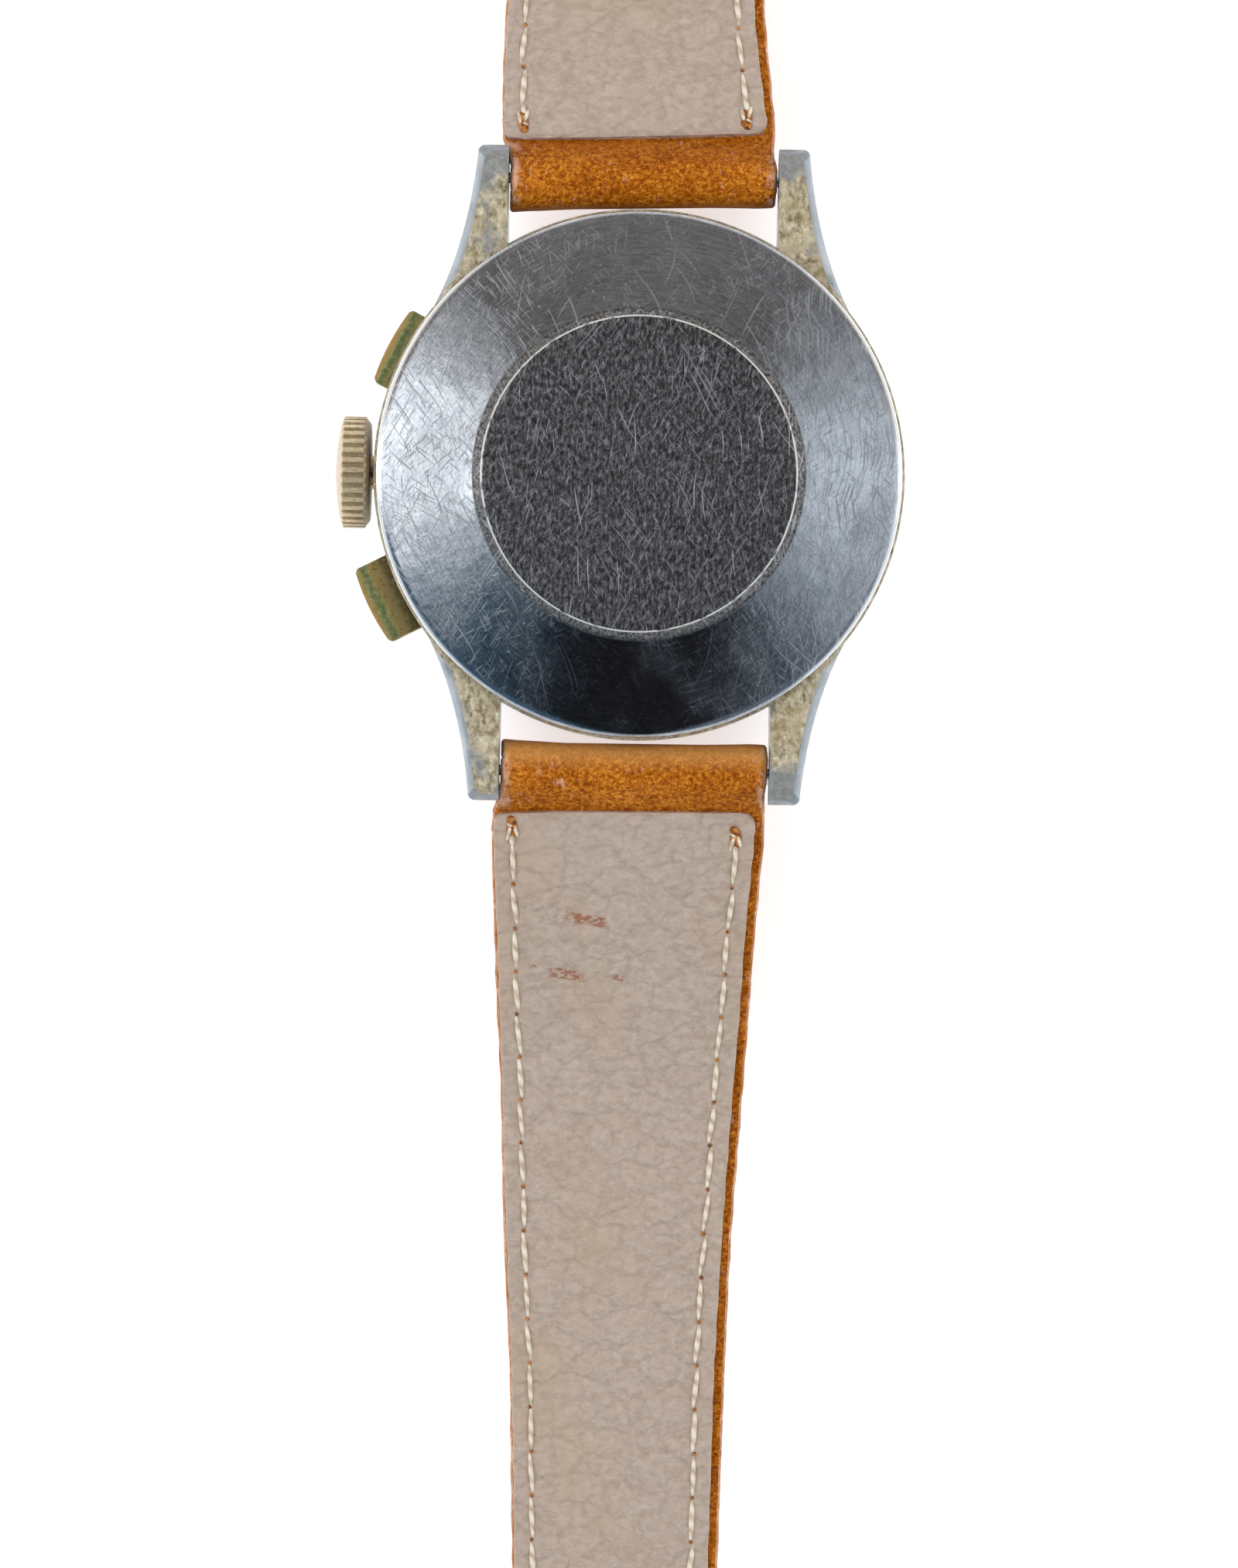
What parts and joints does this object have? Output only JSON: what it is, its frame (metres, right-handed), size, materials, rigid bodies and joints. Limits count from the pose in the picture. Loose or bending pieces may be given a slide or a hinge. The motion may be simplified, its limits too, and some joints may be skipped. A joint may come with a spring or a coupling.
{
  "type": "chronograph wristwatch",
  "caption": "Hand-wound chronograph wristwatch with rectangular pushers, fluted crown, polished steel back and a tan leather strap with pin buckle.",
  "frame": {"origin": "centre of the case back's raised flat face", "axes": "+Z out of the case back, +Y to twelve o'clock along the strap, crown and pushers towards -X; the watch lies on its crystal"},
  "size_m": [0.0407, 0.2415, 0.013],
  "materials": {
    "chromed_base_metal": "worn chrome plating over base metal, corroded at the lugs",
    "steel_back": "polished rim, satin centre, scratched",
    "worn_brass": "plating worn through, green and brown patina",
    "acrylic": "clear domed acrylic",
    "bright_steel": "fine grained",
    "blued_steel": "heat blued",
    "gilt_brass": "gilt",
    "nickel_plate": "matte nickel",
    "cream_dial": "satin lacquer",
    "tan_leather": "grained, scuffed at the edges",
    "taupe_lining": "pigskin grain",
    "cream_thread": "twisted thread"
  },
  "bodies": {
    "case": {"case_middle": "chromed_base_metal", "case_back": "steel_back", "bezel": "chromed_base_metal", "crystal": "acrylic", "case_tubes": "worn_brass", "spring_bars": "bright_steel", "movement_clamps": "bright_steel", "movement_screws": "blued_steel", "main_plate": "nickel_plate", "barrel_bridge": "nickel_plate", "train_bridge": "nickel_plate", "pallet_bridge": "nickel_plate", "balance_cock": "nickel_plate", "chronograph_bridge": "nickel_plate", "dial": "cream_dial", "hairspring": "blued_steel", "start_pusher_spring": "bright_steel", "reset_pusher_spring": "bright_steel"},
    "winding_pinion": {"winding_pinion": "bright_steel"},
    "crown": {"crown": "worn_brass", "winding_stem": "bright_steel"},
    "crown_wheel": {"crown_wheel": "bright_steel"},
    "intermediate_wheel": {"intermediate_wheel": "bright_steel"},
    "ratchet": {"ratchet_wheel": "bright_steel", "barrel_arbor": "bright_steel"},
    "barrel": {"barrel": "gilt_brass", "mainspring": "bright_steel"},
    "centre": {"center_wheel": "gilt_brass", "cannon_pinion": "bright_steel", "minute_hand": "blued_steel"},
    "third_wheel": {"third_wheel": "gilt_brass"},
    "fourth": {"fourth_wheel": "gilt_brass", "running_seconds_hand": "blued_steel"},
    "escape_wheel": {"escape_wheel": "bright_steel"},
    "pallet_fork": {"pallet_fork": "bright_steel"},
    "balance": {"balance_wheel": "gilt_brass"},
    "minute_wheel": {"minute_wheel": "gilt_brass"},
    "hour": {"hour_wheel": "gilt_brass", "hour_hand": "blued_steel"},
    "chronograph_seconds": {"chronograph_runner": "gilt_brass", "chronograph_hand": "blued_steel"},
    "minute_counter": {"minute_counter_wheel": "gilt_brass", "minute_counter_hand": "blued_steel"},
    "coupling_lever": {"coupling_lever": "bright_steel"},
    "coupling_wheel": {"coupling_wheel": "gilt_brass"},
    "operating_lever": {"operating_lever": "bright_steel"},
    "hammer_lever": {"hammer_lever": "bright_steel"},
    "column_wheel": {"column_wheel": "bright_steel"},
    "start_pusher": {"start_pusher": "worn_brass"},
    "reset_pusher": {"reset_pusher": "worn_brass"},
    "upper_strap": {"upper_strap_leather": "tan_leather", "upper_strap_lining": "taupe_lining", "upper_stitching": "cream_thread", "fixed_keeper": "tan_leather"},
    "free_keeper": {"free_keeper": "tan_leather"},
    "buckle_frame": {"buckle_frame": "bright_steel"},
    "buckle_tongue": {"buckle_tongue": "bright_steel"},
    "lower_strap": {"lower_strap_leather": "tan_leather", "lower_strap_lining": "taupe_lining", "lower_stitching": "cream_thread"}
  },
  "joints": [
    {"name": "crown_turn", "type": "hinge", "parent": "case", "child": "winding_pinion", "pos_m": [-0.012, 0, -0.0056], "axis": [1, 0, 0], "continuous": true},
    {"name": "crown_pull", "type": "slide", "parent": "winding_pinion", "child": "crown", "axis": [-1, 0, 0], "range_m": [0, 0.0012]},
    {"name": "crown_wheel_turn", "type": "hinge", "parent": "case", "child": "crown_wheel", "pos_m": [-0.0098, 0, -0.0038], "axis": [0, 0, 1], "continuous": true},
    {"name": "intermediate_wheel_turn", "type": "hinge", "parent": "case", "child": "intermediate_wheel", "pos_m": [-0.00688, -0.00211, -0.0038], "axis": [0, 0, 1], "continuous": true},
    {"name": "ratchet_turn", "type": "hinge", "parent": "case", "child": "ratchet", "pos_m": [-0.00329, -0.0047, -0.0038], "axis": [0, 0, 1], "continuous": true},
    {"name": "barrel_turn", "type": "hinge", "parent": "case", "child": "barrel", "pos_m": [-0.00329, -0.0047, -0.0058], "axis": [0, 0, 1], "continuous": true},
    {"name": "minute_hand_turn", "type": "hinge", "parent": "case", "child": "centre", "pos_m": [0, 0, -0.006], "axis": [0, 0, 1], "continuous": true},
    {"name": "third_wheel_turn", "type": "hinge", "parent": "case", "child": "third_wheel", "pos_m": [0.00352, 0.00181, -0.005], "axis": [0, 0, 1], "continuous": true},
    {"name": "seconds_turn", "type": "hinge", "parent": "case", "child": "fourth", "pos_m": [0.0066, 0, -0.0056], "axis": [0, 0, 1], "continuous": true},
    {"name": "escape_wheel_turn", "type": "hinge", "parent": "case", "child": "escape_wheel", "pos_m": [0.00745, -0.00319, -0.0051], "axis": [0, 0, 1], "continuous": true},
    {"name": "pallet_fork_rock", "type": "hinge", "parent": "case", "child": "pallet_fork", "pos_m": [0.00658, -0.00545, -0.0051], "axis": [0, 0, 1], "range_deg": [-4, 4]},
    {"name": "balance_swing", "type": "hinge", "parent": "case", "child": "balance", "pos_m": [0.0052, -0.009, -0.0041], "axis": [0, 0, 1], "range_deg": [-270, 270], "stiffness_Nm_per_rad": 0.0000004, "deforming": ["hairspring"]},
    {"name": "minute_wheel_turn", "type": "hinge", "parent": "case", "child": "minute_wheel", "pos_m": [0.0015, 0.0026, -0.0077], "axis": [0, 0, 1], "continuous": true},
    {"name": "hour_hand_turn", "type": "hinge", "parent": "case", "child": "hour", "pos_m": [0, 0, -0.008], "axis": [0, 0, 1], "continuous": true},
    {"name": "chronograph_turn", "type": "hinge", "parent": "case", "child": "chronograph_seconds", "pos_m": [0, 0, -0.002], "axis": [0, 0, 1], "continuous": true},
    {"name": "minute_counter_turn", "type": "hinge", "parent": "case", "child": "minute_counter", "pos_m": [-0.0066, 0, -0.002], "axis": [0, 0, 1], "continuous": true},
    {"name": "coupling_lever_swing", "type": "hinge", "parent": "case", "child": "coupling_lever", "pos_m": [0.0066, 0, -0.0025], "axis": [0, 0, 1], "range_deg": [0, 3]},
    {"name": "coupling_wheel_turn", "type": "hinge", "parent": "coupling_lever", "child": "coupling_wheel", "pos_m": [0.00343, 0.00091, -0.0019], "axis": [0, 0, 1], "continuous": true},
    {"name": "column_wheel_turn", "type": "hinge", "parent": "case", "child": "column_wheel", "pos_m": [-0.0042, 0.0096, -0.0025], "axis": [0, 0, 1], "continuous": true},
    {"name": "start_push", "type": "slide", "parent": "case", "child": "start_pusher", "axis": [-0.891, 0.454, 0], "range_m": [0, 0.00125], "stiffness_N_per_m": 150, "springref_m": 0.002, "deforming": ["start_pusher_spring"]},
    {"name": "operating_lever_swing", "type": "hinge", "parent": "case", "child": "operating_lever", "pos_m": [-0.0079, 0.0114, -0.0025], "axis": [0, 0, 1], "range_deg": [-11.5, 0]},
    {"name": "reset_push", "type": "slide", "parent": "case", "child": "reset_pusher", "axis": [-0.891, -0.454, 0], "range_m": [-0.00125, 0], "stiffness_N_per_m": 150, "springref_m": 0.0008, "deforming": ["reset_pusher_spring"]},
    {"name": "hammer_lever_swing", "type": "hinge", "parent": "case", "child": "hammer_lever", "pos_m": [-0.0079, -0.0114, -0.0025], "axis": [0, 0, 1], "range_deg": [-11.5, 0]},
    {"name": "upper_strap_swing", "type": "hinge", "parent": "case", "child": "upper_strap", "pos_m": [0, 0.0212, -0.0042], "axis": [1, 0, 0], "range_deg": [0, 80]},
    {"name": "lower_strap_swing", "type": "hinge", "parent": "case", "child": "lower_strap", "pos_m": [0, -0.0212, -0.0042], "axis": [-1, 0, 0], "range_deg": [0, 80]},
    {"name": "free_keeper_slide", "type": "slide", "parent": "upper_strap", "child": "free_keeper", "axis": [0, 1, 0], "range_m": [-0.008, 0.0075]},
    {"name": "buckle_swing", "type": "hinge", "parent": "upper_strap", "child": "buckle_frame", "pos_m": [0, 0.095, -0.01087], "axis": [1, 0, 0], "range_deg": [0, 75]},
    {"name": "tongue_swing", "type": "hinge", "parent": "buckle_frame", "child": "buckle_tongue", "pos_m": [0, 0.095, -0.01087], "axis": [-1, 0, 0], "range_deg": [0, 100]}
  ],
  "couplings": [
    {"joint": "crown_wheel_turn", "follows": "crown_turn", "ratio": 0.625},
    {"joint": "intermediate_wheel_turn", "follows": "crown_turn", "ratio": -1.25},
    {"joint": "ratchet_turn", "follows": "crown_turn", "ratio": 0.46875},
    {"joint": "third_wheel_turn", "follows": "seconds_turn", "ratio": -0.13333},
    {"joint": "minute_hand_turn", "follows": "seconds_turn", "ratio": 0.016667},
    {"joint": "barrel_turn", "follows": "seconds_turn", "ratio": -0.0023148},
    {"joint": "escape_wheel_turn", "follows": "seconds_turn", "ratio": -10},
    {"joint": "minute_wheel_turn", "follows": "seconds_turn", "ratio": -0.0055556},
    {"joint": "hour_hand_turn", "follows": "seconds_turn", "ratio": 0.0013889},
    {"joint": "coupling_wheel_turn", "follows": "seconds_turn", "ratio": -2},
    {"joint": "minute_counter_turn", "follows": "chronograph_turn", "ratio": 0.033333},
    {"joint": "operating_lever_swing", "follows": "start_push", "rad_per_m": -152.19},
    {"joint": "hammer_lever_swing", "follows": "reset_push", "rad_per_m": 152.19}
  ]
}
